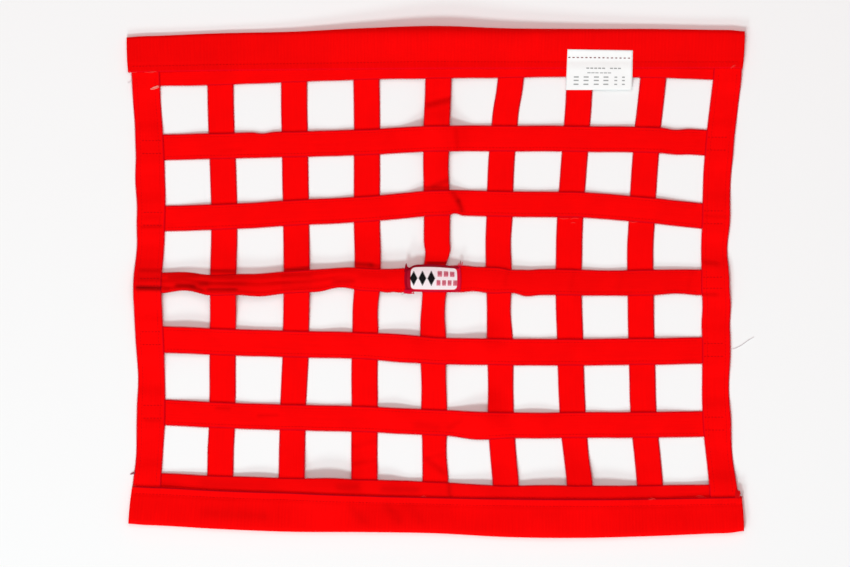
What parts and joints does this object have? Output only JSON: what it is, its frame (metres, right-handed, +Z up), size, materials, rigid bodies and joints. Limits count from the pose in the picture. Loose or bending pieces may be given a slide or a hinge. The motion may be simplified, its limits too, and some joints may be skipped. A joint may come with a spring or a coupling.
{
  "type": "racing window net",
  "caption": "Rectangular net of flat webbing straps sewn into a grid between two open rod sleeves, lying face up and still creased from packing.",
  "frame": {"origin": "middle of the net's outline, on the surface it lies on", "axes": "+X to the right along the rows, +Y up the net to the top sleeve, +Z up out of the net's face"},
  "size_m": [0.608, 0.504, 0.0152],
  "materials": {
    "strap_webbing": "red nylon webbing with fine lengthwise weave lines and looped selvedges",
    "sleeve_webbing": "wider red nylon webbing with fine crosswise ribs",
    "patch_cloth": "woven white satin with a crimson border and a plain geometric motif",
    "tag_cloth": "smooth white printed tag with faint grey dashes"
  },
  "bodies": {
    "root": {"upright_1": "strap_webbing", "upright_2": "strap_webbing", "upright_3": "strap_webbing", "upright_4": "strap_webbing", "upright_5": "strap_webbing", "upright_6": "strap_webbing", "upright_7": "strap_webbing", "upright_8": "strap_webbing", "upright_9": "strap_webbing", "border_top": "strap_webbing", "row_1": "strap_webbing", "row_2": "strap_webbing", "row_3": "strap_webbing", "row_4": "strap_webbing", "row_5": "strap_webbing", "border_foot": "strap_webbing", "sleeve_top": "sleeve_webbing", "sleeve_foot": "sleeve_webbing", "centre_patch": "patch_cloth", "sewn_tag": "tag_cloth"}
  },
  "joints": []
}
